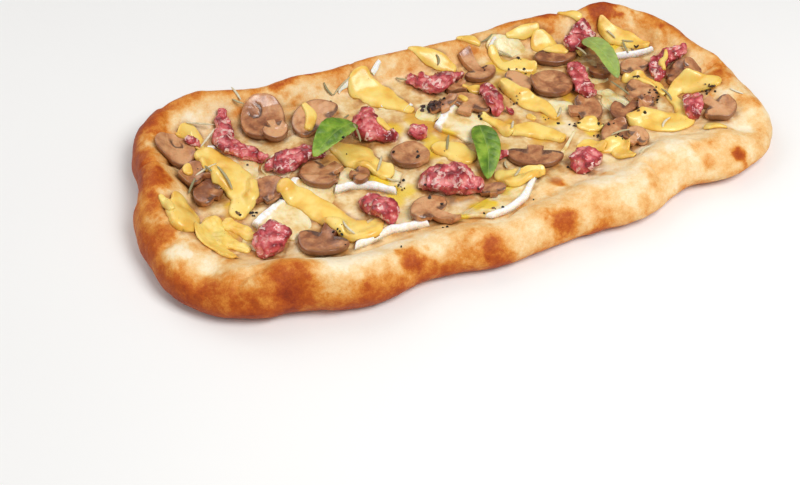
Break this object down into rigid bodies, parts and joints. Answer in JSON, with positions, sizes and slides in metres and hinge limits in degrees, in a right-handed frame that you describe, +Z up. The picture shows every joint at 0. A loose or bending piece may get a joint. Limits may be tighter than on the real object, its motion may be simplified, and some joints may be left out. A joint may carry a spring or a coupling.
{
  "type": "carbonara pizza",
  "caption": "Oblong thick-rimmed pizza baked on a stretched dough, topped with soft cheese, mushroom slices, crumbled sausage, poured egg cream, rosemary, pepper and basil.",
  "frame": {"origin": "middle of the flat underside, below the middle of the pizza's box", "axes": "+X along the pizza's long side, +Y towards its far long side, +Z up"},
  "size_m": [0.414, 0.2068, 0.0316],
  "materials": {
    "crust": "baked dough: pale floury cream in the folds, golden to toasted brown on the crests, matt",
    "cheese": "melted soft cheese, pale cream and glossy, with a matt white rind along one edge",
    "mushroom": "cooked mushroom slice, light brown with darker gills, moist",
    "sausage": "fresh crumbled pork sausage, pink red with pale fat, moist",
    "cream": "warm yellow egg cream, smooth and glossy",
    "basil": "fresh basil leaf, mid green with paler veins, satin"
  },
  "bodies": {
    "root": {"crust": "crust", "cheese_01": "cheese", "cheese_02": "cheese", "cheese_03": "cheese", "cheese_04": "cheese", "cheese_05": "cheese", "cheese_06": "cheese", "cheese_07": "cheese", "cheese_08": "cheese", "mushroom_01": "mushroom", "mushroom_02": "mushroom", "mushroom_03": "mushroom", "mushroom_04": "mushroom", "mushroom_05": "mushroom", "mushroom_06": "mushroom", "mushroom_07": "mushroom", "mushroom_08": "mushroom", "mushroom_09": "mushroom", "mushroom_10": "mushroom", "mushroom_11": "mushroom", "mushroom_12": "mushroom", "mushroom_13": "mushroom", "mushroom_14": "mushroom", "mushroom_15": "mushroom", "mushroom_16": "mushroom", "mushroom_17": "mushroom", "mushroom_18": "mushroom", "mushroom_19": "mushroom", "mushroom_20": "mushroom", "mushroom_21": "mushroom", "mushroom_22": "mushroom", "mushroom_23": "mushroom", "egg_cream_01": "cream", "egg_cream_02": "cream", "egg_cream_03": "cream", "egg_cream_04": "cream", "egg_cream_05": "cream", "egg_cream_06": "cream", "egg_cream_07": "cream", "egg_cream_08": "cream", "egg_cream_09": "cream", "egg_cream_10": "cream", "egg_cream_11": "cream", "sausage_01": "sausage", "sausage_02": "sausage", "sausage_03": "sausage", "sausage_04": "sausage", "sausage_05": "sausage", "sausage_06": "sausage", "sausage_07": "sausage", "sausage_08": "sausage", "sausage_09": "sausage", "sausage_10": "sausage", "sausage_11": "sausage", "sausage_12": "sausage", "sausage_13": "sausage", "sausage_14": "sausage", "basil_1": "basil", "basil_2": "basil", "basil_3": "basil"}
  },
  "joints": []
}
